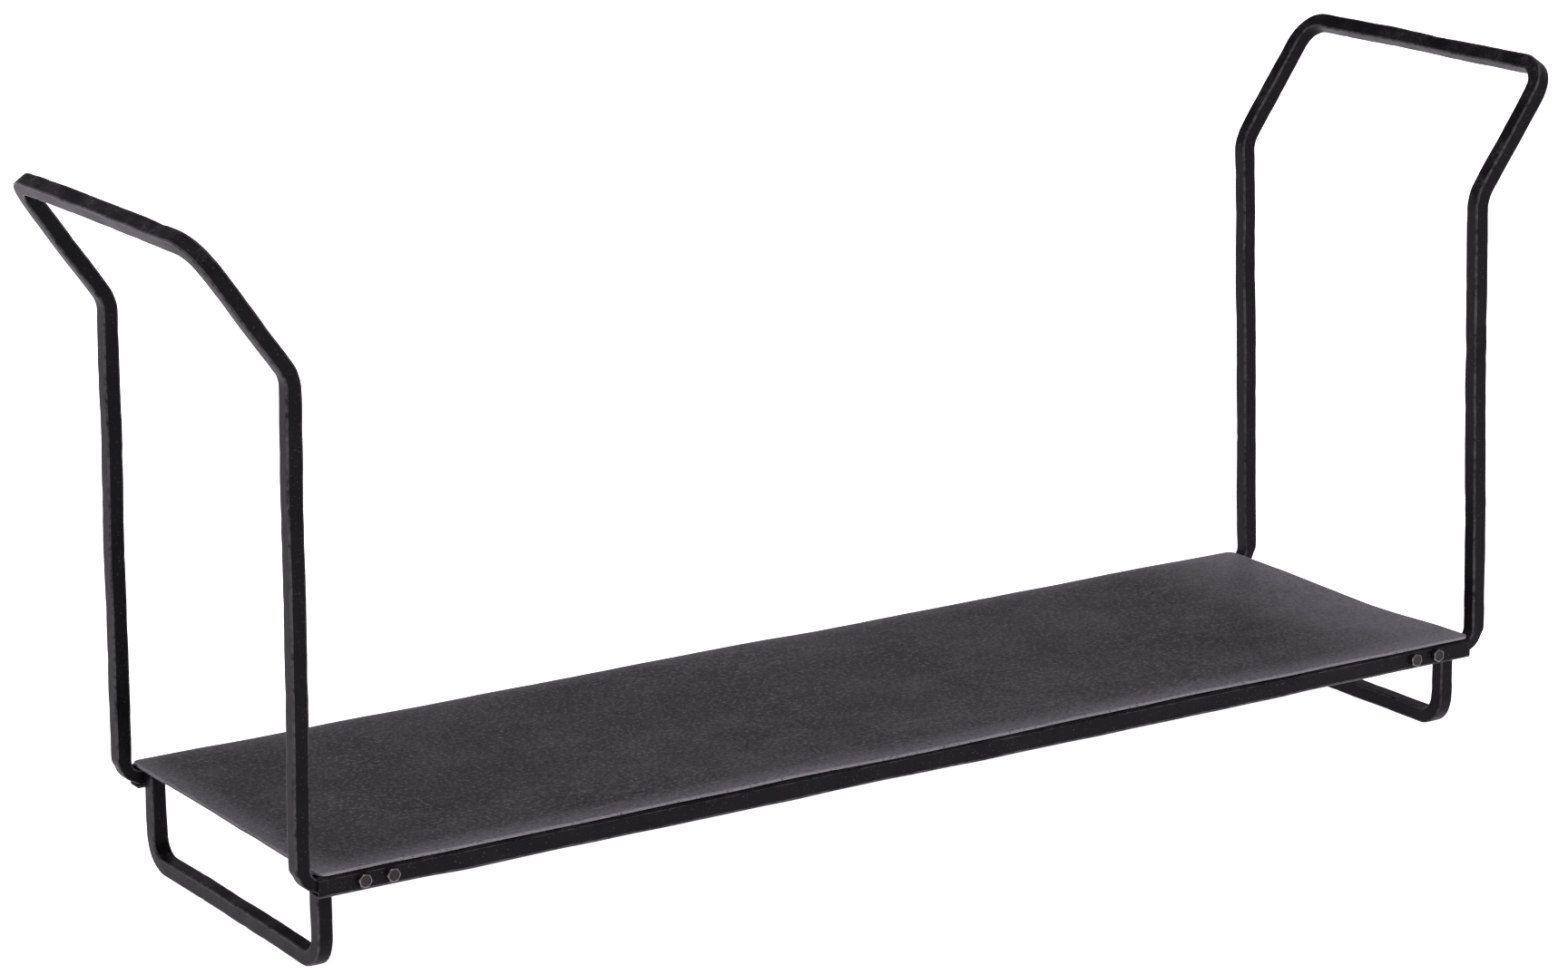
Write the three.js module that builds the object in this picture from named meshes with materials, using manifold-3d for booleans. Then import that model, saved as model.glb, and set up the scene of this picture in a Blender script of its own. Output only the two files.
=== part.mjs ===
// Firewood log rack: a flat sheet shelf on two channel rails, a square-bar handle at each end that
// keeps the logs in, and a square-bar foot under each end. Millimetres, +Z up, the floor at z = 0,
// the rails along X, and the origin on the floor under the middle of the shelf.
import * as THREE from "three";
import { mergeVertices } from "three/addons/utils/BufferGeometryUtils.js";
import Module from "manifold-3d";

// ---- Driving dimensions -------------------------------------------------------------------
const RAIL_LENGTH = 1105;
const RACK_DEPTH = 334; // outer face of one rail to outer face of the other
const RAIL_BOTTOM = 66; // height of the rails' underside above the floor
const RAIL_THICKNESS = 2;
const RAIL_FOLD_RADIUS = 2.5; // outside of each fold

const BAR_SIZE = 13; // square bar of the handles and feet, across its flats
const BAR_EDGE_RADIUS = 1.4;

const SHEET_THICKNESS = 2;
const SHEET_END_INSET = 1; // how far the sheet stops short of each rail's end
const SHEET_CORNER_RADIUS = 8;

const POST_HEIGHT = 391.5; // from the bar in the rail up to the knee, between centre lines
const POST_TILT = 1.25; // degrees, towards the middle of the rack
const LEAN_LENGTH = 126.5; // from the knee to the top corner, between centre lines
const LEAN_ANGLE = 35; // degrees from upright, away from the middle
const HANDLE_FOOT_RADIUS = 18; // all bend radii are to the bar's centre line
const HANDLE_KNEE_RADIUS = 20;
const HANDLE_CORNER_RADIUS = 24;

const FOOT_INSET = 5.5; // from a rail's end to the leg's outer face
const FOOT_CORNER_RADIUS = 20;

const BOLT_END_DISTANCE = 37.5; // from a rail's end to the nearer bolt
const BOLT_SPACING = 24;
const BOLT_SHANK_RADIUS = 3; // M6
const HEX_ACROSS_FLATS = 10;
const HEX_CROWN = 9.5; // across the flat round on a head or nut, inside its turned-down rim
const HEX_RIM_SLOPE = 30; // degrees
const BOLT_HEAD_HEIGHT = 4;
const THREAD_SHOWING = 3; // beyond the nut
const NUT_HEIGHT = 5;
const WASHER_RADIUS = 6;
const WASHER_THICKNESS = 1.6;
const BAR_PAST_BOLT = 15; // from the inner bolt to the end of the handle bar

// ---- Clearances ---------------------------------------------------------------------------
const SEAT_GAP = 0.1; // between flat faces that rest on each other
const BEND_CLEARANCE = 0.3; // between a handle's bend and the sheet's end above it
const NOTCH_CLEARANCE = 0.5; // from the start of a handle's bend to the rail's notch for it
const BOLT_HOLE_CLEARANCE = 0.3; // on the radius
const THREAD_CLEARANCE = 0.1; // on the radius, nut and washer over the shank

// ---- Fineness of the curves ---------------------------------------------------------------
const DEGREES_PER_BEND_STEP = 12;
const EDGE_STEPS = 2; // along each rounded edge of a section
const CORNER_STEPS = 4; // along each corner of the sheet and each fold of a rail
const ROUND_SIDES = 16;
const CUT_PAST = 1; // how far a cutter runs beyond what it cuts

// ---- Sizes that follow --------------------------------------------------------------------
const RAIL_END = RAIL_LENGTH / 2;
const RAIL_FACE = RACK_DEPTH / 2;
const HALF_BAR = BAR_SIZE / 2;
// A handle's bar fills the channel of the rail, whose flanges reach as far in as the bar.
const RAIL_HEIGHT = BAR_SIZE + 2 * (RAIL_THICKNESS + SEAT_GAP);
const BAR_Y = RAIL_FACE - RAIL_THICKNESS - SEAT_GAP - HALF_BAR;
const BAR_Z = RAIL_BOTTOM + RAIL_THICKNESS + SEAT_GAP + HALF_BAR;
const BAR_INNER_FACE = BAR_Y - HALF_BAR;
const FLANGE_WIDTH = RAIL_FACE - BAR_INNER_FACE;
// The sheet lies on the rails' top flanges and on the tops of the feet's legs.
const SHEET_UNDERSIDE = RAIL_BOTTOM + RAIL_HEIGHT + SEAT_GAP;
const SHEET_END = RAIL_END - SHEET_END_INSET;
const LEG_Y = BAR_INNER_FACE - SEAT_GAP - HALF_BAR;
const BOLT_DISTANCES = [BOLT_END_DISTANCE, BOLT_END_DISTANCE + BOLT_SPACING];
const BAR_END = RAIL_END - BOLT_DISTANCES[1] - BAR_PAST_BOLT;
const HEAD_FACE = RAIL_FACE + SEAT_GAP; // the underside of a bolt's head
const WASHER_SEAT = BAR_INNER_FACE - SEAT_GAP; // the washer's face against the bar
const NUT_SEAT = WASHER_SEAT - WASHER_THICKNESS - SEAT_GAP; // the nut's face against the washer
const BOLT_TIP = NUT_SEAT - NUT_HEIGHT - THREAD_SHOWING;

const wasm = await Module();
wasm.setup();

const paint = { color: 0x141416, roughness: 0.6, metalness: 0.2 };
const FINISHES = {
  bar: paint,
  rail: { ...paint, color: 0x17171a },
  sheet: { color: 0x3a393c, roughness: 0.7, metalness: 0.25 },
  fastener: { color: 0x3c3836, roughness: 0.45, metalness: 0.8 },
};

const rack = new THREE.Group();

// Names a geometry as one piece of the rack, with its own material.
function addPiece(name, geometry, finish) {
  const piece = new THREE.Mesh(geometry, new THREE.MeshStandardMaterial(FINISHES[finish]));
  piece.name = name;
  rack.add(piece);
}

// ---- Solids to cut and join ---------------------------------------------------------------
function toSolid(geometry) {
  const bare = geometry.clone();
  bare.deleteAttribute("normal");
  bare.deleteAttribute("uv");
  const merged = mergeVertices(bare, 1e-4);
  return new wasm.Manifold(
    new wasm.Mesh({
      numProp: 3,
      vertProperties: merged.getAttribute("position").array,
      triVerts: new Uint32Array(merged.getIndex().array),
    }),
  );
}

function toGeometry(solid) {
  const { vertProperties, triVerts } = solid.getMesh();
  const geometry = new THREE.BufferGeometry();
  geometry.setAttribute("position", new THREE.BufferAttribute(vertProperties, 3));
  geometry.setIndex(new THREE.BufferAttribute(triVerts, 1));
  geometry.computeVertexNormals();
  return geometry;
}

// ---- Sections and bent bars ---------------------------------------------------------------
// A rectangle about the origin with its corners rounded.
function roundedRectangle(width, height, radius) {
  const [x, y] = [width / 2 - radius, height / 2 - radius];
  const outline = new THREE.Shape();
  const corners = [[x, y], [-x, y], [-x, -y], [x, -y]];
  corners.forEach(([cx, cy], quarter) => {
    const start = (quarter * Math.PI) / 2;
    outline.absarc(cx, cy, radius, start, start + Math.PI / 2, false);
  });
  outline.closePath();
  return outline;
}

// The centre line of a bar bent cold: straight runs, and an arc of the stated radius at each
// corner. Its stations are the ends of the runs and even steps round each arc, so a bar swept
// along it keeps its full section on every straight run.
class BentLine extends THREE.Curve {
  constructor(start, corners, end) {
    super();
    this.points = [start];
    this.tangents = [];
    const ends = [start, ...corners.map((corner) => corner.at), end];
    corners.forEach(({ at, radius }, index) => {
      const incoming = at.clone().sub(ends[index]).normalize();
      const outgoing = ends[index + 2].clone().sub(at).normalize();
      this.addArc(at, radius, incoming, outgoing);
    });
    this.tangents.unshift(this.tangents[0]);
    this.points.push(end);
    this.tangents.push(this.tangents.at(-1));
  }

  addArc(at, radius, incoming, outgoing) {
    const turn = incoming.angleTo(outgoing);
    const setback = radius * Math.tan(turn / 2);
    const begin = at.clone().addScaledVector(incoming, -setback);
    const axis = incoming.clone().cross(outgoing).normalize();
    const inward = axis.clone().cross(incoming);
    const centre = begin.clone().addScaledVector(inward, radius);
    const steps = Math.ceil(THREE.MathUtils.radToDeg(turn) / DEGREES_PER_BEND_STEP);
    for (let step = 0; step <= steps; step += 1) {
      const angle = (turn * step) / steps;
      const spoke = inward.clone().multiplyScalar(-radius).applyAxisAngle(axis, angle);
      this.points.push(centre.clone().add(spoke));
      this.tangents.push(incoming.clone().applyAxisAngle(axis, angle));
    }
  }

  get steps() {
    return this.points.length - 1;
  }

  getPointAt(u, target = new THREE.Vector3()) {
    return target.copy(this.points[Math.round(u * this.steps)]);
  }

  getTangentAt(u, target = new THREE.Vector3()) {
    return target.copy(this.tangents[Math.round(u * this.steps)]);
  }
}

function bentBar(line) {
  return new THREE.ExtrudeGeometry(roundedRectangle(BAR_SIZE, BAR_SIZE, BAR_EDGE_RADIUS), {
    steps: line.steps,
    extrudePath: line,
    curveSegments: EDGE_STEPS,
  });
}

// ---- Pieces -------------------------------------------------------------------------------
function makeSheet() {
  const outline = roundedRectangle(2 * SHEET_END, RACK_DEPTH, SHEET_CORNER_RADIUS);
  const sheet = new THREE.ExtrudeGeometry(outline, {
    depth: SHEET_THICKNESS,
    bevelEnabled: false,
    curveSegments: CORNER_STEPS,
  });
  return sheet.translate(0, 0, SHEET_UNDERSIDE);
}

// Round stock lying along Y, as a cutter for bolt holes or the blank of a fastener.
function cylinderAlongY(radius, fromY, toY, x, z) {
  const cylinder = new THREE.CylinderGeometry(radius, radius, toY - fromY, ROUND_SIDES);
  return cylinder.translate(x, (fromY + toY) / 2, z);
}

function drillForBolts(geometry, side, xs) {
  const radius = BOLT_SHANK_RADIUS + BOLT_HOLE_CLEARANCE;
  const [near, far] = [BAR_Y - BAR_SIZE, BAR_Y + BAR_SIZE];
  let solid = toSolid(geometry);
  for (const x of xs) {
    const [from, to] = side > 0 ? [near, far] : [-far, -near];
    solid = solid.subtract(toSolid(cylinderAlongY(radius, from, to, x, BAR_Z)));
  }
  return toGeometry(solid);
}

// Where a handle's bar starts to bend up out of its rail: far enough back from the sheet's end
// that the inner side of the bend has risen no higher than the sheet's underside there.
function bendStartX() {
  const innerRadius = HANDLE_FOOT_RADIUS - HALF_BAR;
  const rise = SHEET_UNDERSIDE - BEND_CLEARANCE - (BAR_Z + HALF_BAR);
  return SHEET_END - Math.sqrt(2 * innerRadius * rise - rise * rise);
}

// The room cut out of a channel's top flange at one end, where the handle's bar bends up.
function makeNotch(end) {
  const from = bendStartX() - NOTCH_CLEARANCE;
  const length = RAIL_END + CUT_PAST - from;
  const underside = RAIL_BOTTOM + RAIL_HEIGHT - RAIL_THICKNESS - SEAT_GAP;
  const height = RAIL_THICKNESS + SEAT_GAP + CUT_PAST;
  const notch = new THREE.BoxGeometry(length, FLANGE_WIDTH, height);
  const y = -RAIL_FACE + RAIL_THICKNESS + FLANGE_WIDTH / 2;
  return notch.translate(end * (from + length / 2), y, underside + height / 2);
}

// One channel, folded from strip: an upright web outside and a flat flange under and over the
// handle bars, with rounded folds between them. `side` is -1 at the front and 1 at the back.
function makeRail(side) {
  const [t, r, top] = [RAIL_THICKNESS, RAIL_FOLD_RADIUS, RAIL_HEIGHT];
  const section = new THREE.Shape();
  section.moveTo(FLANGE_WIDTH, 0);
  section.lineTo(FLANGE_WIDTH, t);
  section.lineTo(t, t);
  section.lineTo(t, top - t);
  section.lineTo(FLANGE_WIDTH, top - t);
  section.lineTo(FLANGE_WIDTH, top);
  section.absarc(r, top - r, r, 0.5 * Math.PI, Math.PI, false);
  section.absarc(r, r, r, Math.PI, 1.5 * Math.PI, false);
  section.closePath();
  const channel = new THREE.ExtrudeGeometry(section, {
    depth: RAIL_LENGTH,
    bevelEnabled: false,
    curveSegments: CORNER_STEPS,
  });
  // The section's x axis turns to point inwards, its y axis up, and its length runs along X.
  channel.rotateX(Math.PI / 2);
  channel.rotateZ(Math.PI / 2);
  channel.translate(-RAIL_END, -RAIL_FACE, RAIL_BOTTOM);
  let solid = toSolid(channel);
  for (const end of [-1, 1]) solid = solid.subtract(toSolid(makeNotch(end)));
  const rail = toGeometry(solid);
  if (side > 0) rail.rotateZ(Math.PI);
  const xs = [-1, 1].flatMap((end) => BOLT_DISTANCES.map((d) => end * (RAIL_END - d)));
  return drillForBolts(rail, side, xs);
}

// One length of bar: out of the front rail, up the front post, leaning outwards to the top,
// across, and back down into the back rail. `end` is -1 at the left and 1 at the right.
function makeHandle(end) {
  const tilt = THREE.MathUtils.degToRad(POST_TILT);
  const lean = THREE.MathUtils.degToRad(LEAN_ANGLE);
  const footX = bendStartX() + HANDLE_FOOT_RADIUS * Math.tan((Math.PI / 2 + tilt) / 2);
  const kneeX = footX - POST_HEIGHT * Math.tan(tilt);
  const kneeZ = BAR_Z + POST_HEIGHT;
  const topX = kneeX + LEAN_LENGTH * Math.sin(lean);
  const topZ = kneeZ + LEAN_LENGTH * Math.cos(lean);
  const at = (x, side, z) => new THREE.Vector3(end * x, side * BAR_Y, z);
  const bends = (side) => [
    { at: at(footX, side, BAR_Z), radius: HANDLE_FOOT_RADIUS },
    { at: at(kneeX, side, kneeZ), radius: HANDLE_KNEE_RADIUS },
    { at: at(topX, side, topZ), radius: HANDLE_CORNER_RADIUS },
  ];
  const corners = [...bends(-1), ...bends(1).reverse()];
  const line = new BentLine(at(BAR_END, -1, BAR_Z), corners, at(BAR_END, 1, BAR_Z));
  const xs = BOLT_DISTANCES.map((distance) => end * (RAIL_END - distance));
  return drillForBolts(drillForBolts(bentBar(line), -1, xs), 1, xs);
}

// One length of bar bent into a U: two legs up to the sheet and a runner along the floor.
function makeFoot(end) {
  const x = end * (RAIL_END - FOOT_INSET - HALF_BAR);
  const at = (y, z) => new THREE.Vector3(x, y, z);
  const legTop = SHEET_UNDERSIDE - SEAT_GAP;
  const line = new BentLine(
    at(-LEG_Y, legTop),
    [
      { at: at(-LEG_Y, HALF_BAR), radius: FOOT_CORNER_RADIUS },
      { at: at(LEG_Y, HALF_BAR), radius: FOOT_CORNER_RADIUS },
    ],
    at(LEG_Y, legTop),
  );
  return bentBar(line);
}

// ---- Fasteners, each made standing on y = 0 and pointing along +Y ---------------------------
// A hexagonal prism with its rim turned down to a cone, at the far end or at both.
function hexagon(height, bothEnds) {
  const rim = HEX_ACROSS_FLATS / Math.sqrt(3);
  const crown = HEX_CROWN / 2;
  const past = rim + CUT_PAST;
  const drop = (past - crown) * Math.tan(THREE.MathUtils.degToRad(HEX_RIM_SLOPE));
  const base = bothEnds ? [[0, 0], [crown, 0], [past, drop]] : [[0, 0], [past, 0]];
  const profile = [...base, [past, height - drop], [crown, height], [0, height]];
  const points = profile.map(([radius, y]) => new THREE.Vector2(radius, y));
  const cone = toSolid(new THREE.LatheGeometry(points, ROUND_SIDES));
  const prism = new THREE.CylinderGeometry(rim, rim, height, 6).translate(0, height / 2, 0);
  return toSolid(prism).intersect(cone);
}

function makeBolt() {
  const shank = cylinderAlongY(BOLT_SHANK_RADIUS, BOLT_TIP - HEAD_FACE, BOLT_HEAD_HEIGHT / 2, 0, 0);
  return toGeometry(hexagon(BOLT_HEAD_HEIGHT, false).add(toSolid(shank)));
}

function makeNut() {
  const radius = BOLT_SHANK_RADIUS + THREAD_CLEARANCE;
  const bore = cylinderAlongY(radius, -CUT_PAST, NUT_HEIGHT + CUT_PAST, 0, 0);
  return toGeometry(hexagon(NUT_HEIGHT, true).subtract(toSolid(bore)));
}

function makeWasher() {
  const bore = BOLT_SHANK_RADIUS + THREAD_CLEARANCE;
  const profile = [
    [bore, 0],
    [WASHER_RADIUS, 0],
    [WASHER_RADIUS, WASHER_THICKNESS],
    [bore, WASHER_THICKNESS],
    [bore, 0],
  ];
  const points = profile.map(([radius, y]) => new THREE.Vector2(radius, y));
  return new THREE.LatheGeometry(points, ROUND_SIDES);
}

// Puts a fastener's y = 0 face at distance `base` from the middle of the rack, pointing
// outwards, turned about its own axis as the spanner left it.
function placeFastener(geometry, x, side, base, turn) {
  const placed = geometry.clone().rotateY(turn);
  if (side < 0) placed.rotateZ(Math.PI);
  return placed.translate(x, side * base, BAR_Z);
}

// ---- The rack -----------------------------------------------------------------------------
const SIDES = { front: -1, back: 1 };
const ENDS = { left: -1, right: 1 };

addPiece("shelf_plate", makeSheet(), "sheet");
for (const [sideName, side] of Object.entries(SIDES)) {
  addPiece(`${sideName}_rail`, makeRail(side), "rail");
}
for (const [endName, end] of Object.entries(ENDS)) {
  addPiece(`${endName}_handle`, makeHandle(end), "bar");
  addPiece(`${endName}_foot`, makeFoot(end), "bar");
}

const bolt = makeBolt();
const washer = makeWasher();
const nut = makeNut();
const TURN_STEP = THREE.MathUtils.degToRad(17); // each bolt stops a little further round
let fastened = 0;
for (const [sideName, side] of Object.entries(SIDES)) {
  for (const [endName, end] of Object.entries(ENDS)) {
    ["outer", "inner"].forEach((place, index) => {
      const x = end * (RAIL_END - BOLT_DISTANCES[index]);
      const where = `${sideName}_${endName}_${place}`;
      const turn = TURN_STEP * fastened;
      fastened += 1;
      const stack = [
        ["bolt", bolt, HEAD_FACE],
        ["washer", washer, WASHER_SEAT - WASHER_THICKNESS],
        ["nut", nut, NUT_SEAT - NUT_HEIGHT],
      ];
      for (const [kind, geometry, base] of stack) {
        addPiece(`${kind}_${where}`, placeFastener(geometry, x, side, base, turn), "fastener");
      }
    });
  }
}

export default rack;
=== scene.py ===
"""Firewood log rack in black-painted iron: a sheet shelf on two folded channel rails, a handle
bent from square bar at each end, a bar foot under each end, and eight bolts with their washers
and nuts. Metres, +Z up, the floor at z = 0 and the rails along X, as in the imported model."""

import math

import bpy
import numpy as np
from mathutils import Matrix, Vector


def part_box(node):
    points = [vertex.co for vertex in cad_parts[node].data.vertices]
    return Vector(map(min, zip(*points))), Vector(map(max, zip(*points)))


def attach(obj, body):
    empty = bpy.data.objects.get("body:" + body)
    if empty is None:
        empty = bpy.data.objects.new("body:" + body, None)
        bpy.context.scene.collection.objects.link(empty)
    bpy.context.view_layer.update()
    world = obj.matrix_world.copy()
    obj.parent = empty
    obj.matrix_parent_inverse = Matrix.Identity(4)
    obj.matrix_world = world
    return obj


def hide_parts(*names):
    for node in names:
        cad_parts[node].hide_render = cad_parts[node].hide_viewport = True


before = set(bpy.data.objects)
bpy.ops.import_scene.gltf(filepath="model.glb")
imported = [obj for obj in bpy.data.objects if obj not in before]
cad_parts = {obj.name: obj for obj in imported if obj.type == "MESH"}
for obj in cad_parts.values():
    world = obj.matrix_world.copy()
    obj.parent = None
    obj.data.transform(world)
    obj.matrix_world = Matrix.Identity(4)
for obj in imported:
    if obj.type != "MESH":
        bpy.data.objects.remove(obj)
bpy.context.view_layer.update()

MM = 0.001
BODY = "root"

# ---- Sizes that the CAD boxes don't give ---------------------------------------------------
POST_TILT = math.radians(1.25)  # towards the middle of the rack
LEAN_ANGLE = math.radians(35)  # from upright, away from the middle
LEAN_LENGTH = 126.5 * MM  # from the knee to the top corner, between centre lines
# Foot, knee and top corner, to the centre line. The CAD bends them at 18, 20 and 24 mm.
HANDLE_BENDS = (14 * MM, 23 * MM, 24 * MM)
BEND_SHIFTS = {  # of the front knee, front top, back top and back knee: (X, Z) in millimetres
    "left_handle": ((0.5, -1.5), (1.5, -2), (2, -1), (0, -1)),
    "right_handle": ((0, -1.5), (-0.5, -2), (-2.5, -0.5), (0, 1.5)),
}
FOOT_BEND = 20 * MM
BAR_EDGE_RADIUS = 1.4 * MM
BEND_SPREAD = 0.15  # how much wider a bar gets inside a bend, as a share of depth over radius
BEND_THINNING = 6600 * MM**4  # a bend's outside draws in by this over its radius cubed
BAR_SWELL = 0.25 * MM  # how much each face of a bar stands out between its ends
BAR_WAVES = (0.26 * MM, 190 * MM, 45 * MM, 5)  # each face: height, longest, shortest, how many
BAR_DRIFT = (0.5 * MM, 420 * MM, 120 * MM, 4)  # the centre line: the same four
BAR_HAMMER_MARKS = (0.2 * MM, 9 * MM, 55 * MM)  # on the faces: depth, width, spacing
BAR_EDGE_BLOWS = (0.22 * MM, 5 * MM, 40 * MM)  # on the edges: the same three
BAR_END_ROUND = 0.8 * MM
HANDLE_TRUE_END = 75 * MM  # at each end of a bar, the length that keeps its true section
FOOT_TRUE_END = 6 * MM
BAR_FADE = 45 * MM  # from the true section to the full waviness
RAIL_THICKNESS = 2 * MM
RAIL_LOWER_FOLD = 2.2 * MM  # radius, outside; both folds are 2.5 mm in the CAD
RAIL_UPPER_FOLD = 3 * MM
RAIL_SAG = 0.8 * MM  # of the lower edge, between the bolts
RAIL_BULGE = (0.4 * MM, 260 * MM, 40 * MM)  # the web in and out: height, longest, shortest
RAIL_DROOP = (0.3 * MM, 260 * MM, 40 * MM)  # the lower flange up and down: the same three
RAIL_SAG_WAVES = (0.7 * MM, 600 * MM, 60 * MM, 6)  # the lower edge: the same and how many
RAIL_TRUE_END = 75 * MM
RAIL_FADE = 60 * MM
RAIL_NOTCH = 7.8 * MM  # length cut from each end of a rail's top flange, for the handle's bend
SHEARED_EDGE_RADIUS = 0.35 * MM  # what the brush leaves on a cut edge of sheet
SHEET_CORNER_RADIUS = 8 * MM
SHEET_EDGE_WAVER = (0.5 * MM, 240 * MM, 36 * MM)  # height, longest, shortest
SHEET_END_WAVER = (0.5 * MM, 200 * MM, 36 * MM)
SHEET_LIFT = 0.3 * MM  # height of each of the sheet's undulations
SHEET_LIFT_REACHES = (620, 410, 270, 180)  # their wavelengths, in millimetres
DENT_DEPTH = 3.3 * MM  # of the sheet's right end
DENT_START = 110 * MM  # from that end
DENT_RAMP = 90 * MM  # from there to the full depth
DENT_MIDDLE = -45 * MM  # where it is deepest, along Y
DENT_TO_FRONT = 92 * MM  # from there to where it ends
DENT_TO_BACK = 180 * MM
HEX_ACROSS_FLATS = 10 * MM
HEX_CROWN_SHARE = 0.93  # of the width across flats, inside which a hexagon's end is flat
HEX_RIM_SLOPE = math.radians(30)
BOLT_HEAD_HEIGHT = 4 * MM
THREAD_RADIUS = 3 * MM
THREAD_PITCH = 1 * MM
THREAD_DEPTH = 0.55 * MM
WASHER_RADIUS = 6 * MM
BORE_RADIUS = 3.1 * MM  # of nuts and washers
NUT_MOUTH = 0.45 * MM  # how far a nut's bore opens out, and how deep
WASHER_ROLL = 0.45 * MM  # radius that the punch leaves on a washer's outer edge

# ---- Fineness ------------------------------------------------------------------------------
BAR_STEP = 2.5 * MM  # between sections along a bar
RAIL_STEP = 4 * MM
SHEET_STEP = 6 * MM
BEND_STEP = math.radians(4)
ARC_POINTS = 5  # round each edge of a section
SECTION_STEP = 1.3 * MM  # across the flats of a section
HEX_COLUMNS = 48
SHARP_ANGLE = math.radians(38)  # past which the edge between two faces isn't smoothed
EDGE_MARK_REACH = 1.6 * MM  # how far from an outside corner the edge mark fades to nothing


# ---- Small vector helpers -------------------------------------------------------------------
def unit(vector):
    return vector / np.linalg.norm(vector)


def smooth(value):
    """0 below 0, 1 above 1, and 3t^2 - 2t^3 between them."""
    t = np.clip(value, 0, 1)
    return t * t * (3 - 2 * t)


def quarter_round(distance, radius):
    """How far a rounded edge has drawn in at a distance from the end: r - sqrt(r^2 - (r - d)^2)."""
    past = np.clip(radius - distance, 0, radius)
    return radius - np.sqrt(radius**2 - past**2)


def spaced(length, step, eased):
    """Distances from 0 to length: even steps, and a few close ones in the eased stretch at each end."""
    close = eased * (1 - np.cos(np.linspace(0, math.pi / 2, 5)))
    middle = np.linspace(eased, length - eased, max(2, math.ceil(length / step)))
    return np.concatenate([close[:-1], middle, length - close[-2::-1]])


def waves(along, seed, height, longest, shortest, count=7):
    """A gentle random waviness along a length: a sum of sines whose wavelengths run from longest
    to shortest in even ratios, each with its own phase and a height that shrinks with it."""
    draw = np.random.default_rng(seed)
    lengths = np.geomspace(longest, shortest, count)
    heights = height * np.sqrt(lengths / longest) * draw.uniform(0.5, 1.0, count)
    phases = draw.uniform(0, 2 * math.pi, count)
    return (np.sin(2 * math.pi * along[..., None] / lengths + phases) * heights).sum(-1) / 2


def dents(along, seed, depth, width, spacing):
    """Hammer marks along a face: bell-shaped hollows, exp(-(s - centre)^2 / width^2), of random
    depth up to the stated one, scattered one to each stretch of the stated spacing."""
    draw = np.random.default_rng(seed)
    count = max(1, int(np.ptp(along) / spacing))
    centres = along.min() + (np.arange(count) + draw.uniform(0, 1, count)) * spacing
    depths = depth * draw.uniform(0.2, 1.0, count)
    widths = width * draw.uniform(0.6, 1.4, count)
    return (depths * np.exp(-(((along[:, None] - centres) / widths) ** 2))).sum(1)


# ---- Meshes over grids ----------------------------------------------------------------------
def skin(name, grid, marks, joined=False):
    """A closed mesh over a grid of rings. Ring i joins ring i + 1 by quads, and each ring joins on
    itself. The last ring joins the first where joined is set, and otherwise the two end rings are
    filled with a flat face. If six times its volume, the sum of a . (b x c) over its triangles,
    comes out negative, every face is turned over, so that faces point outwards."""
    rows, columns = grid.shape[:2]
    row, column = np.meshgrid(np.arange(rows), np.arange(columns), indexing="ij")
    number = row * columns + column
    onward = np.roll(number, -1, 0)
    quads = np.stack(
        [number, np.roll(number, -1, 1), np.roll(onward, -1, 1), onward], -1
    )
    if not joined:
        quads = quads[:-1]
    quads = quads.reshape(-1, 4)
    points = grid.reshape(-1, 3)
    a, b, c, d = (points[quads[:, k]] - points.mean(0) for k in range(4))
    volume = (a * (np.cross(b, c) + np.cross(c, d))).sum()
    faces = quads.tolist()
    if not joined:
        faces += [number[0, ::-1].tolist(), number[-1].tolist()]
    if volume < 0:
        faces = [face[::-1] for face in faces]
    mesh = bpy.data.meshes.new(name)
    mesh.from_pydata(points.tolist(), [], faces)
    for mark, values in marks.items():
        kind = "FLOAT_VECTOR" if values.shape[2:] == (3,) else "FLOAT"
        field = "vector" if kind == "FLOAT_VECTOR" else "value"
        attribute = mesh.attributes.new(mark, kind, "POINT")
        attribute.data.foreach_set(field, values.astype(np.float32).ravel())
    mesh.polygons.foreach_set("use_smooth", [True] * len(faces))
    mesh.set_sharp_from_angle(angle=SHARP_ANGLE)
    mesh.update()
    piece = bpy.data.objects.new(name, mesh)
    bpy.context.scene.collection.objects.link(piece)
    return piece


def place_piece(piece, node, finish):
    """The piece stands for its CAD node, rides with the rack and takes its finish."""
    piece.data.materials.append(finish)
    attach(piece, BODY)
    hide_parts(node)


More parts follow.
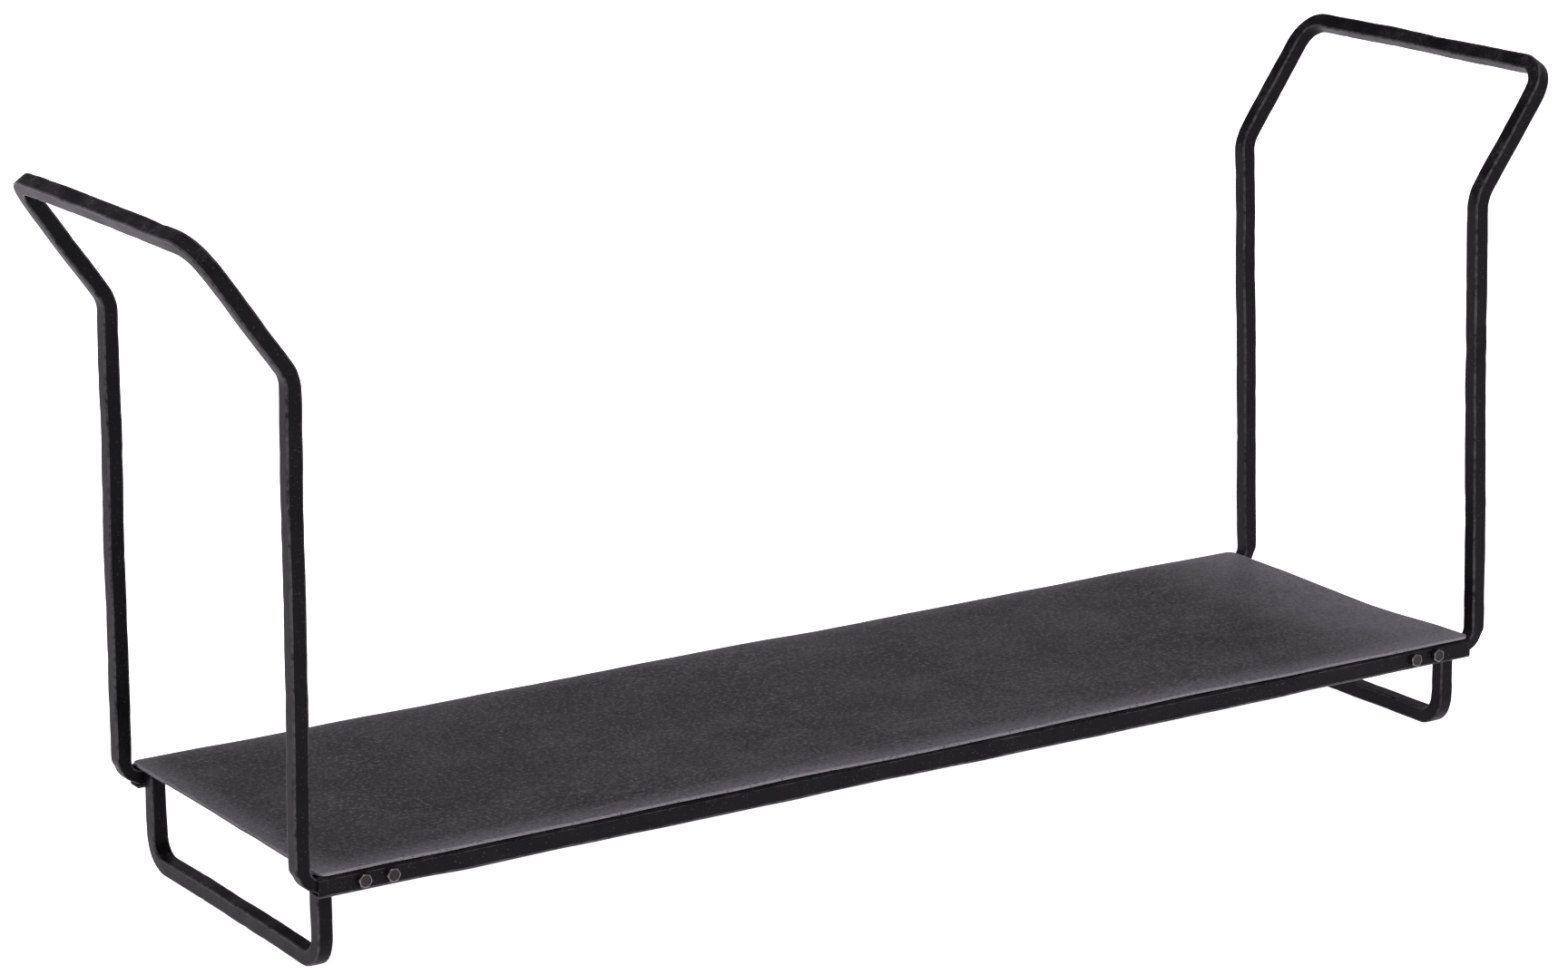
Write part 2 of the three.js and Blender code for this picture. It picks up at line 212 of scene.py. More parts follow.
# ---- Sections -------------------------------------------------------------------------------
def rounded_outline(corners, radii):
    """A closed section: each corner becomes an arc that touches both its sides, and the straight
    stretches between arcs are split evenly. Also gives how near each point is to an outside
    corner, 1 on the arc and falling evenly to 0 over EDGE_MARK_REACH."""
    corners = np.array(corners, float)
    arcs = []
    outside = []
    for index, radius in enumerate(radii):
        corner = corners[index]
        back = unit(corners[index - 1] - corner)
        on = unit(corners[(index + 1) % len(corners)] - corner)
        half = math.acos(np.clip(back @ on, -1, 1)) / 2
        centre = corner + unit(back + on) * radius / math.sin(half)
        first = corner + back * radius / math.tan(half) - centre
        last = corner + on * radius / math.tan(half) - centre
        start = math.atan2(first[1], first[0])
        turn = (math.atan2(last[1], last[0]) - start + math.pi) % (2 * math.pi) - math.pi
        angle = start + turn * np.linspace(0, 1, ARC_POINTS)
        arcs.append(centre + radius * np.stack([np.cos(angle), np.sin(angle)], -1))
        outside.append(turn > 0)
    points = []
    for index, arc in enumerate(arcs):
        gap = arcs[(index + 1) % len(arcs)][0] - arc[-1]
        count = max(1, round(np.linalg.norm(gap) / SECTION_STEP))
        points += [arc, arc[-1] + gap * np.linspace(0, 1, count + 1)[1:-1, None]]
    points = np.concatenate(points)
    edges = np.concatenate([arc for arc, out in zip(arcs, outside) if out])
    gaps = np.linalg.norm(points[:, None] - edges, axis=-1).min(1)
    return points, np.clip(1 - gaps / EDGE_MARK_REACH, 0, 1)


def square(width, radius):
    half = width / 2
    corners = [(half, half), (-half, half), (-half, -half), (half, -half)]
    return rounded_outline(corners, [radius] * 4)


# ---- Bent bars ------------------------------------------------------------------------------
def turned(vector, axis, angle):
    """A vector turned about an axis by each angle: v cos a + (k x v) sin a + k (k . v)(1 - cos a)."""
    a = angle[:, None]
    flat = axis * (axis @ vector)
    return vector * np.cos(a) + np.cross(axis, vector) * np.sin(a) + flat * (1 - np.cos(a))


def bent_line(start, corners, radii, end, across):
    """The centre line of a bent bar: straight runs, and at each corner an arc that touches both of
    its runs. Gives the places along it, the section's two directions there, the distance along,
    and the way each arc turns in, divided by its radius."""
    ends = [start, *corners, end]
    here = start
    places, acrosses, ups, turns = [], [], [], []
    for index, (corner, radius) in enumerate(zip(corners, radii)):
        incoming = unit(corner - ends[index])
        outgoing = unit(ends[index + 2] - corner)
        up = np.cross(incoming, across)
        turn = math.acos(np.clip(incoming @ outgoing, -1, 1))
        run_end = corner - incoming * radius * math.tan(turn / 2)
        length = np.linalg.norm(run_end - here)
        distance = np.linspace(0, length, math.ceil(length / BAR_STEP) + 1)[:-1, None]
        axis = unit(np.cross(incoming, outgoing))
        inward = np.cross(axis, incoming)
        angle = np.linspace(0, turn, math.ceil(turn / BEND_STEP) + 1)
        arc = run_end + inward * radius + radius * turned(-inward, axis, angle)
        places += [here + incoming * distance, arc[:-1]]
        straight = np.ones((len(distance), 1))
        acrosses += [across * straight, turned(across, axis, angle)[:-1]]
        ups += [up * straight, turned(up, axis, angle)[:-1]]
        turns += [0 * up * straight, turned(inward, axis, angle)[:-1] / radius]
        here = arc[-1]
        across = turned(across, axis, angle)[-1]
    heading = unit(end - here)
    length = np.linalg.norm(end - here)
    distance = np.linspace(0, length, math.ceil(length / BAR_STEP) + 1)[:, None]
    straight = np.ones((len(distance), 1))
    places.append(here + heading * distance)
    acrosses.append(across * straight)
    ups.append(np.cross(heading, across) * straight)
    turns.append(0 * across * straight)
    line = [np.concatenate(part) for part in (places, acrosses, ups, turns)]
    steps = np.linalg.norm(np.diff(line[0], axis=0), axis=1)
    along = np.concatenate([[0], np.cumsum(steps)])
    return (*line, along)


def forged_bar(name, line, width, seed, true_end):
    """A square bar carried along its centre line. Each of its four faces stands in or out by its
    own waviness less its hammer marks, so a half-width p becomes p (1 + offset / half-width); the
    centre line wanders a little; and at a bend the metal inside it spreads sideways, in
    proportion to depth over radius, and the outside draws in, in proportion to one over the
    radius cubed. All but the bends' part fades out at the ends. The bolts' holes, which the bolts
    would fill, are left out."""
    places, across, up, turn_in, along = line
    half = width / 2
    section, edge = square(width, BAR_EDGE_RADIUS)
    length = along[-1]
    from_end = np.minimum(along, length - along)
    free = smooth((from_end - true_end) / BAR_FADE)
    p = section[None, :, 0] * np.ones((len(along), 1))
    q = section[None, :, 1] * np.ones((len(along), 1))
    ends = 1 - quarter_round(from_end, BAR_END_ROUND)[:, None] / half
    p, q = p * ends, q * ends

    curl = np.stack([(turn_in * across).sum(1), (turn_in * up).sum(1)])
    kernel = np.hanning(13) / np.hanning(13).sum()
    turn_p, turn_q = (np.convolve(part, kernel, "same")[:, None] for part in curl)
    p, q = p * (1 + BEND_SPREAD * q * turn_q), q * (1 + BEND_SPREAD * p * turn_p)
    p = p + BEND_THINNING * turn_p**3 * np.clip(-np.sign(turn_p) * p / half, 0, 1)
    q = q + BEND_THINNING * turn_q**3 * np.clip(-np.sign(turn_q) * q / half, 0, 1)

    offsets = [
        free
        * (
            BAR_SWELL
            + waves(along, seed + face, *BAR_WAVES)
            - dents(along, seed + 10 + face, *BAR_HAMMER_MARKS)
        )
        for face in range(4)
    ]
    right, left, top, bottom = (offset[:, None] for offset in offsets)
    shifted_p = p * (1 + np.where(p > 0, right, left) / half)
    shifted_q = q * (1 + np.where(q > 0, top, bottom) / half)
    # Blows on the edges themselves: a corner point draws in along its own diagonal.
    for corner, (sign_p, sign_q) in enumerate([(1, 1), (-1, 1), (-1, -1), (1, -1)]):
        knock = free * dents(along, seed + 20 + corner, *BAR_EDGE_BLOWS)
        at_corner = edge * (section[:, 0] * sign_p > 0) * (section[:, 1] * sign_q > 0)
        shifted_p = shifted_p - sign_p * knock[:, None] * at_corner
        shifted_q = shifted_q - sign_q * knock[:, None] * at_corner
    drift_p = free * waves(along, seed + 30, *BAR_DRIFT)
    drift_q = free * waves(along, seed + 31, *BAR_DRIFT)
    shifted_p = shifted_p + drift_p[:, None]
    shifted_q = shifted_q + drift_q[:, None]
    grid = (
        places[:, None]
        + shifted_p[..., None] * across[:, None]
        + shifted_q[..., None] * up[:, None]
    )
    grid[..., 2] = np.maximum(grid[..., 2], 0)
    lay = np.stack([along[:, None] + 0 * p + seed * 0.37, p, q], -1)
    marks = {"edge": edge[None, :] + 0 * p, "lay": lay}
    return skin(name, grid, marks)


def handle_line(end):
    """The centre line of the handle at one end, -1 left and 1 right, worked out from its CAD box:
    the top corner lies one leaning half-section inside the box, and the knee and the bottom
    corner follow down from it. The knees and top corners are then shifted as the bender left
    them."""
    name = "left_handle" if end < 0 else "right_handle"
    low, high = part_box(name)
    foot_low, foot_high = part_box(name.replace("handle", "foot"))
    half = (foot_high.x - foot_low.x) / 2
    reach = (half - BAR_EDGE_RADIUS) * (math.cos(LEAN_ANGLE) + math.sin(LEAN_ANGLE))
    reach += BAR_EDGE_RADIUS
    bar_y = high.y - half
    bar_z = low.z + half
    top_x = max(-low.x, high.x) - reach
    top_z = high.z - reach
    knee_x = top_x - LEAN_LENGTH * math.sin(LEAN_ANGLE)
    knee_z = top_z - LEAN_LENGTH * math.cos(LEAN_ANGLE)
    foot_x = knee_x + (knee_z - bar_z) * math.tan(POST_TILT)
    bar_end = min(abs(low.x), abs(high.x))

    def at(x, side, z, shift=(0, 0)):
        return np.array([end * x + shift[0] * MM, side * bar_y, z + shift[1] * MM])

    front_knee, front_top, back_top, back_knee = BEND_SHIFTS[name]
    corners = [
        at(foot_x, -1, bar_z),
        at(knee_x, -1, knee_z, front_knee),
        at(top_x, -1, top_z, front_top),
        at(top_x, 1, top_z, back_top),
        at(knee_x, 1, knee_z, back_knee),
        at(foot_x, 1, bar_z),
    ]
    radii = HANDLE_BENDS + HANDLE_BENDS[::-1]
    across = np.array([0.0, 1.0, 0.0])
    line = bent_line(at(bar_end, -1, bar_z), corners, radii, at(bar_end, 1, bar_z), across)
    return line, 2 * half


def foot_line(end):
    """The centre line of the foot at one end: down from the sheet, along the floor and up again."""
    low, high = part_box("left_foot" if end < 0 else "right_foot")
    width = high.x - low.x
    x = (low.x + high.x) / 2
    leg_y = high.y - width / 2
    corners = [np.array([x, -leg_y, width / 2]), np.array([x, leg_y, width / 2])]
    start = np.array([x, -leg_y, high.z])
    stop = np.array([x, leg_y, high.z])
    line = bent_line(start, corners, [FOOT_BEND] * 2, stop, np.array([1.0, 0.0, 0.0]))
    return line, width


# ---- Rails and sheet ------------------------------------------------------------------------
def folded_rail(name, node, side, seed):
    """One folded channel: its C section, with both folds rounded outside and in and the cut edges
    eased, carried along X. The web waves in and out, the lower flange waves up and down and the
    lower edge sags, all fading out where the handle bars lie. In the notch at each end the top
    flange is drawn back to the web. The bolts' holes, which the bolts would fill, are left out."""
    low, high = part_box(node)
    depth = high.y - low.y
    height = high.z - low.z
    t = RAIL_THICKNESS
    r = SHEARED_EDGE_RADIUS
    upper = height - t
    corners = [(0, 0), (depth, 0), (depth, t), (t, t), (t, upper), (depth, upper)]
    corners += [(depth, height), (0, height)]
    radii = [RAIL_LOWER_FOLD, r, r, RAIL_LOWER_FOLD - t, RAIL_UPPER_FOLD - t, r, r, RAIL_UPPER_FOLD]
    section, edge = rounded_outline(corners, radii)
    # Nothing rubs the upper fold, which lies under the sheet's edge.
    edge[(section[:, 0] < RAIL_UPPER_FOLD) & (section[:, 1] > height - RAIL_UPPER_FOLD)] = 0
    length = high.x - low.x
    cut = np.array([0.0, 0.05, 0.3]) * MM + RAIL_NOTCH
    along = spaced(length, RAIL_STEP, SHEARED_EDGE_RADIUS)
    along = np.sort(np.concatenate([along, cut, length - cut]))
    from_end = np.minimum(along, length - along)[:, None]
    free = smooth((from_end - RAIL_TRUE_END) / RAIL_FADE)
    inwards = section[None, :, 0] + 0 * from_end
    upwards = section[None, :, 1] + 0 * from_end
    # The ends are eased by drawing each point towards the middle of the metal's thickness.
    on_web = (section[:, 1] > t) & (section[:, 1] < upper) | (section[:, 0] < t)
    flange_middle = np.where(section[:, 1] > height / 2, height - t / 2, t / 2)
    middle_in = np.where(on_web, t / 2, np.clip(section[:, 0], t / 2, depth - t / 2))
    middle_up = np.where(on_web, np.clip(section[:, 1], t / 2, height - t / 2), flange_middle)
    drawn_in = quarter_round(from_end, SHEARED_EDGE_RADIUS) / (t / 2)
    inwards = inwards + (middle_in - section[:, 0]) * drawn_in
    upwards = upwards + (middle_up - section[:, 1]) * drawn_in
    notched = (from_end < RAIL_NOTCH + 0.02 * MM) & (section[:, 1] > height / 2)
    inwards = np.where(notched & (inwards > t), t + 0.004 * (inwards - t), inwards)
    bulge = waves(along, seed, *RAIL_BULGE)[:, None] * free
    droop = waves(along, seed + 1, *RAIL_DROOP)[:, None] * free
    inwards = inwards + bulge * np.sin(math.pi * np.clip(upwards / height, 0, 1))
    lower_half = upwards < height / 2
    upwards = upwards + np.where(lower_half, droop * np.clip(inwards / depth, 0, 1), 0)
    sag = waves(along, seed + 2, *RAIL_SAG_WAVES)[:, None] - RAIL_SAG
    upwards = upwards + sag * free * (1 - np.clip(upwards / height, 0, 1))
    outer = high.y if side > 0 else low.y
    across = outer - side * inwards
    grid = np.stack([low.x + along[:, None] + 0 * inwards, across, low.z + upwards], -1)
    return skin(name, grid, {"edge": edge[None, :] + 0 * inwards})


def sheet_shelf(name, node):
    """A flat sheet with rounded corners. At each place along X its section is a thin closed loop,
    top and bottom, whose half-width is the full one less the corner's quarter round, and whose
    edges are eased; the whole sheet is lifted by a shallow random undulation that is the sum of
    products of sines, its sheared edges waver by a fraction of a millimetre, and its right end is
    pressed down. Where it waves down it dips into the rails' top flanges, out of sight."""
    low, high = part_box(node)
    length = high.x - low.x
    half_width = (high.y - low.y) / 2
    thickness = high.z - low.z
    eased = SHEARED_EDGE_RADIUS
    corner = SHEET_CORNER_RADIUS
    first = corner * (1 - np.cos(np.linspace(0, math.pi / 2, 14)))
    first = np.unique(np.concatenate([first, eased * (1 - np.cos(np.linspace(0, math.pi / 2, 5)))]))
    middle = np.linspace(corner, length - corner, math.ceil(length / SHEET_STEP))
    along = np.concatenate([first[:-1], middle, length - first[-2::-1]])
    from_end = np.minimum(along, length - along)
    half = half_width - quarter_round(from_end, corner)

    count = math.ceil(2 * half_width / SHEET_STEP)
    across = np.linspace(-1, 1, count + 1)
    angle = np.linspace(-math.pi / 2, math.pi / 2, 7)
    # One loop of the section: along the top, round the back edge, along the bottom, round the
    # front edge. Each point has its share of the half-width, its turn round an edge, and its face,
    # which is 1 on top, -1 underneath and 0 on an edge.
    rounds = np.ones(len(angle) - 2)
    share = np.concatenate([across, rounds, across[::-1], -rounds])
    turn = np.concatenate([0 * across, angle[::-1][1:-1], 0 * across, angle[1:-1]])
    face = np.concatenate([0 * across + 1, 0 * rounds, 0 * across - 1, 0 * rounds])
    on_edge = face == 0
    limb = half[:, None] - eased
    outward = np.where(on_edge, eased * np.cos(turn), 0)
    y = share * limb + np.sign(share) * outward
    rise = face * (thickness / 2)
    straight = thickness / 2 - eased
    rise = np.where(on_edge, np.sign(np.sin(turn)) * straight + eased * np.sin(turn), rise)
    ends = quarter_round(from_end, eased)[:, None]
    z = rise * (1 - ends / (thickness / 2))
    waver = waves(along, 71, *SHEET_EDGE_WAVER)[:, None]
    waver_back = waves(along, 72, *SHEET_EDGE_WAVER)[:, None]
    free = smooth((from_end - 20 * MM) / (40 * MM))[:, None]
    y = y + np.where(share > 0, waver_back, waver) * free * np.abs(share) ** 3
    x = low.x + along[:, None] + 0 * y
    x = x + waves(y, 73, *SHEET_END_WAVER) * smooth(1 - from_end / (30 * MM))[:, None]
    draw = np.random.default_rng(74)
    lift = 0
    for reach in SHEET_LIFT_REACHES:
        one, two = draw.uniform(0, 2 * math.pi, 2)
        slant = draw.uniform(-0.4, 0.4)
        lift = lift + np.sin(2 * math.pi * (x + slant * y) / (reach * MM) + one) * np.sin(
            2 * math.pi * (y - slant * x) / (reach * MM) + two
        )
    legs = smooth((from_end - 25 * MM) / (70 * MM))[:, None]
    # The right end has been pressed down between the foot's legs, deepest towards the front.
    reach_in = smooth((x - high.x + DENT_START) / DENT_RAMP)
    over = (y - DENT_MIDDLE) / np.where(y < DENT_MIDDLE, DENT_TO_FRONT, DENT_TO_BACK)
    pressed = DENT_DEPTH * reach_in * smooth(1 - np.abs(over))
    z = z + (low.z + high.z) / 2 + SHEET_LIFT * lift * legs - pressed
    return skin(name, np.stack([x, y, z], -1), {})


# ---- Fasteners ------------------------------------------------------------------------------
def hex_radius(angle):
    """Distance from the middle of a hexagon to its rim at an angle: half the width across flats,
    over the greatest of the six cosines to the flats. A high power mean of the cosines instead of
    the greatest one leaves the corners a little soft."""
    flats = np.arange(6) * math.pi / 3
    cosines = np.maximum(np.cos(angle[..., None] - flats), 0)
    return HEX_ACROSS_FLATS / 2 / (cosines**90).sum(-1) ** (1 / 90)


def crowned(radius, height, crown):
    """The height of a hexagon's end at a radius: flat within the crown and sloping outside it."""
    return height - np.maximum(radius - crown, 0) * math.tan(HEX_RIM_SLOPE)


def turned_piece(name, radius, height, edge, centre, outward, turn, joined):
    """Points at a radius and a height over a grid of angles, stood on the fastener's own axis:
    centre + r cos a X + r sin a Z + h outwards."""
    angle = np.linspace(0, 2 * math.pi, HEX_COLUMNS, endpoint=False) + turn
    grid = np.stack(
        [
            centre[0] + radius * np.cos(angle),
            centre[1] + outward * height,
            centre[2] + radius * np.sin(angle),
        ],
        -1,
    )
    return skin(name, grid, {"edge": edge}, joined)


def fastener_rows(rows):
    """Turns rows of (radius, height, edge), each a number or a value for every angle, into grids."""
    full = np.ones(HEX_COLUMNS)
    return [np.array([full * row[k] for row in rows]) for k in range(3)]


def hex_bolt(name, node, turn):
    """A hexagon head with a faint dish, its rim turned down to a cone, over a full-length thread:
    the shank's radius falls by the thread's depth times a triangle wave of height over pitch
    plus angle, which winds it into a helix."""
    low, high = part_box(node)
    outward = -1 if low.y < 0 else 1
    face = high.y if outward > 0 else -low.y
    tip = low.y if outward > 0 else -high.y
    seat = face - BOLT_HEAD_HEIGHT
    centre = ((low.x + high.x) / 2, outward * seat, (low.z + high.z) / 2)
    angle = np.linspace(0, 2 * math.pi, HEX_COLUMNS, endpoint=False)
    rim = hex_radius(angle)
    flat = HEX_ACROSS_FLATS / 2
    crown = HEX_CROWN_SHARE * flat
    head = BOLT_HEAD_HEIGHT
    rows = []
    for share in (0.1, 0.35, 0.6, 0.8, 0.94, 1.0):
        rows.append((share * crown, head - 0.12 * MM * (1 - smooth((share - 0.5) / 0.4)), share**9))
    for share in (0.3, 0.65, 0.92, 1.0):
        radius = crown + (rim - crown) * share
        rows.append((radius, crowned(radius, head, crown), 0.55 + 0.45 * share))
    top = crowned(rim, head, crown)
    for share, edge in ((0.96, 0.8), (0.85, 0.3), (0.5, 0.1), (0.16, 0.1), (0.06, 0.5)):
        rows.append((rim, top * share, edge))
    rows.append((rim - 0.12 * MM, 0.04 * MM, 0.4))
    rows.append((flat * 0.9, 0.0, 0))
    rows.append((THREAD_RADIUS + 0.25 * MM, 0.0, 0))
    reach = seat - tip
    heights = np.arange(0.3 * MM, reach - 0.9 * MM, THREAD_PITCH / 6)
    winding = heights[:, None] / THREAD_PITCH + angle / (2 * math.pi)
    ridge = np.abs(2 * (winding % 1) - 1)
    fade = smooth((heights - 0.8 * MM) / (1.5 * MM))[:, None]
    threads = THREAD_RADIUS - THREAD_DEPTH * ridge * fade
    for height, radius, crest in zip(heights, threads, ridge):
        rows.append((radius, -height, 0.5 * (1 - crest)))
    rows.append((THREAD_RADIUS - THREAD_DEPTH, -(reach - 0.7 * MM), 0.3))
    rows.append((THREAD_RADIUS - 1.3 * THREAD_DEPTH, -(reach - 0.2 * MM), 0.3))
    rows.append((THREAD_RADIUS - 1.7 * THREAD_DEPTH, -reach, 0.1))
    radius, height, edge = fastener_rows(rows)
    return turned_piece(name, radius, height, edge, centre, outward, turn, False)


def hex_nut(name, node, turn):
    """A hexagon with both rims turned down to cones and a bore opened out at each mouth."""
    low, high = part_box(node)
    outward = -1 if low.y < 0 else 1
    tall = high.y - low.y
    centre = ((low.x + high.x) / 2, (low.y + high.y) / 2, (low.z + high.z) / 2)
    angle = np.linspace(0, 2 * math.pi, HEX_COLUMNS, endpoint=False)
    rim = hex_radius(angle)
    crown = HEX_CROWN_SHARE * HEX_ACROSS_FLATS / 2
    mouth = BORE_RADIUS + NUT_MOUTH
    half = tall / 2
    upper = [(BORE_RADIUS, 0.0, 0), (BORE_RADIUS, half - NUT_MOUTH, 0.2), (mouth, half, 0.5)]
    upper += [(crown - 0.4 * MM, half, 0.1), (crown, half, 0.5)]
    for share in (0.4, 0.8, 1.0):
        radius = crown + (rim - crown) * share
        upper.append((radius, crowned(radius, half, crown), 0.55 + 0.45 * share))
    top = crowned(rim, half, crown)
    upper += [(rim, top - 0.15 * MM, 0.5), (rim, top * 0.7, 0.1)]
    lower = [(radius, -1 * height, edge) for radius, height, edge in upper[:0:-1]]
    radius, height, edge = fastener_rows(upper + [(rim, 0.0, 0.1)] + lower)
    return turned_piece(name, radius, height, edge, centre, outward, turn, True)


def plain_washer(name, node, turn):
    """A punched ring: one face's outer edge is rolled over by the punch and the other is sharp."""
    low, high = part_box(node)
    outward = -1 if low.y < 0 else 1
    half = (high.y - low.y) / 2
    centre = ((low.x + high.x) / 2, (low.y + high.y) / 2, (low.z + high.z) / 2)
    roll = WASHER_ROLL
    angle = np.linspace(0, math.pi / 2, 5)
    rows = [(BORE_RADIUS, 0.0, 0), (BORE_RADIUS, half - 0.1 * MM, 0.2)]
    rows += [(BORE_RADIUS + 0.1 * MM, half, 0.4), (WASHER_RADIUS * 0.8, half, 0.1)]
    rows += [(WASHER_RADIUS - 0.1 * MM, half, 0.7), (WASHER_RADIUS, half - 0.1 * MM, 0.9)]
    for a in angle:
        drop = -half + roll * (1 - math.sin(a))
        rows.append((WASHER_RADIUS - roll * (1 - math.cos(a)), drop, 0.8))
    rows += [(WASHER_RADIUS * 0.75, -half, 0.1), (BORE_RADIUS + 0.1 * MM, -half, 0.4)]
    rows.append((BORE_RADIUS, -half + 0.1 * MM, 0.2))
    radius, height, edge = fastener_rows(rows)
    return turned_piece(name, radius, height, edge, centre, outward, turn, True)


# ---- Materials ------------------------------------------------------------------------------
class Signal:
    """A value or colour on its way between shader nodes. Sums written with it add Math nodes."""

    def __init__(self, finish, socket):
        self.finish = finish
        self.socket = socket

    def __add__(self, other):
        return self.finish.maths("ADD", self, other)

    __radd__ = __add__

    def __sub__(self, other):
        return self.finish.maths("SUBTRACT", self, other)

    def __rsub__(self, other):
        return self.finish.maths("SUBTRACT", other, self)

    def __mul__(self, other):
        return self.finish.maths("MULTIPLY", self, other)

    __rmul__ = __mul__

    def __abs__(self):
        return self.finish.maths("ABSOLUTE", self)


class Nodes:
    """What a material's or the world's shader is put together with."""

    def __init__(self, tree):
        self.tree = tree

    def node(self, kind, settings, inputs, output=0):
        """Adds a node: its settings first, then its inputs by name or number, each a value or a
        Signal. A ramp's stops are a setting."""
        made = self.tree.nodes.new(kind)
        for setting, value in settings.items():
            setattr(made, setting, value)
        for socket, value in inputs.items():
            if isinstance(value, Signal):
                self.tree.links.new(value.socket, made.inputs[socket])
            else:
                made.inputs[socket].default_value = value
        return Signal(self, made.outputs[output])

    def maths(self, operation, *values):
        return self.node("ShaderNodeMath", {"operation": operation}, dict(enumerate(values)))

    def between(self, value, low, high):
        """0 where the value is at low, 1 where it is at high, eased between them."""
        settings = {"interpolation_type": "SMOOTHSTEP"}
        return self.node("ShaderNodeMapRange", settings, {0: value, 1: low, 2: high, 3: 0, 4: 1})

    def mixed(self, share, one, other):
        settings = {"data_type": "RGBA"}
        return self.node("ShaderNodeMix", settings, {0: share, 6: one, 7: other}, 2)

    def part(self, vector, axis):
        return self.node("ShaderNodeSeparateXYZ", {}, {0: vector}, axis)


class Finish(Nodes):
    """One material, built round a Principled surface whose unvarying values are set on its own
    sockets."""

    def __init__(self, name, **unvarying):
        self.material = bpy.data.materials.new(name)
        self.material.use_nodes = True
        super().__init__(self.material.node_tree)
        self.surface = self.tree.nodes["Principled BSDF"]
        for socket, value in unvarying.items():
            self.surface.inputs[socket.replace("_", " ")].default_value = value

    def position(self):
        return self.node("ShaderNodeTexCoord", {}, {}, "Object")

    def mark(self, name, output="Fac"):
        return self.node("ShaderNodeAttribute", {"attribute_name": name}, {}, output)

    def stretched(self, vector, scale, turn=0.0, shift=(0, 0, 0)):
        """The coordinates turned about Z, then scaled along each axis."""
        inputs = {"Vector": vector, "Scale": scale, "Location": shift}
        inputs["Rotation"] = (0, 0, turn)
        return self.node("ShaderNodeMapping", {}, inputs)

    def noise(self, vector, size, detail=2.0, roughness=0.5):
        """Noise whose lumps are about the stated size across, from 0 to 1."""
        inputs = {"Vector": vector, "Scale": 1 / size, "Detail": detail, "Roughness": roughness}
        return self.node("ShaderNodeTexNoise", {}, inputs)

    def facing_up(self):
        normal = self.node("ShaderNodeNewGeometry", {}, {}, "Normal")
        return self.maths("MAXIMUM", self.part(normal, 2), 0.0)

    def finish(self, colour, roughness, height, metallic=None):
        """Links what varies: the colour, the roughness, and a bump whose height is in metres."""
        bump = self.node("ShaderNodeBump", {}, {"Height": height, "Distance": 1.0})
        links = {"Base Color": colour, "Roughness": roughness, "Normal": bump}
        if metallic is not None:
            links["Metallic"] = metallic
        for socket, signal in links.items():
            self.tree.links.new(signal.socket, self.surface.inputs[socket])
        return self.material


def grey(level, warmth=0.0):
    """A near-neutral colour: warmth lifts red and lowers blue by the same share."""
    return (level * (1 + warmth), level, level * (1 - warmth), 1)


def black_paint(name, where, dark, pale, dusty):
    """Brushed-on black over scaled iron: clouds of slightly different black, a fine orange peel, a
    few pale specks, dust that lies on what faces up, and edges rubbed thin so that they catch
    the light."""
    paint = Finish(name, Specular_IOR_Level=0.06)
    lay = paint.mark(*where) if where else paint.position()
    clouds = paint.noise(lay, 45 * MM, 3, 0.6)
    scale = paint.noise(lay, 6 * MM, 3, 0.6)
    grain = paint.noise(lay, 0.9 * MM, 2, 0.6)
    specks = paint.between(paint.noise(lay, 1.7 * MM, 1, 0.4), 0.66, 0.74)
    edge = paint.mark("edge")
    rubbed = paint.between(edge * (0.5 + 0.5 * scale) + 0.35 * clouds, 0.78, 1.0)
    patches = paint.between(paint.noise(lay, 30 * MM, 2, 0.5), 0.42, 0.62)
    dust = paint.facing_up() * paint.between(grain + 0.5 * scale, 0.7, 0.95) * patches * dusty
    base = paint.mixed(paint.between(clouds + 0.4 * (grain - 0.5), 0.3, 0.75), dark, pale)
    base = paint.mixed(specks * 0.25, base, grey(0.07, 0.05))
    base = paint.mixed(dust, base, grey(0.085, 0.04))
    base = paint.mixed(rubbed * 0.7, base, grey(0.055, 0.02))
    roughness = 0.46 + 0.2 * (clouds - 0.5) + 0.25 * (grain - 0.5) + 0.25 * dust - 0.12 * rubbed
    hammered = paint.noise(lay, 13 * MM, 2, 0.45)
    height = 0.22 * MM * hammered + 0.05 * MM * scale + 0.012 * MM * grain
    return paint.finish(base, roughness, height)


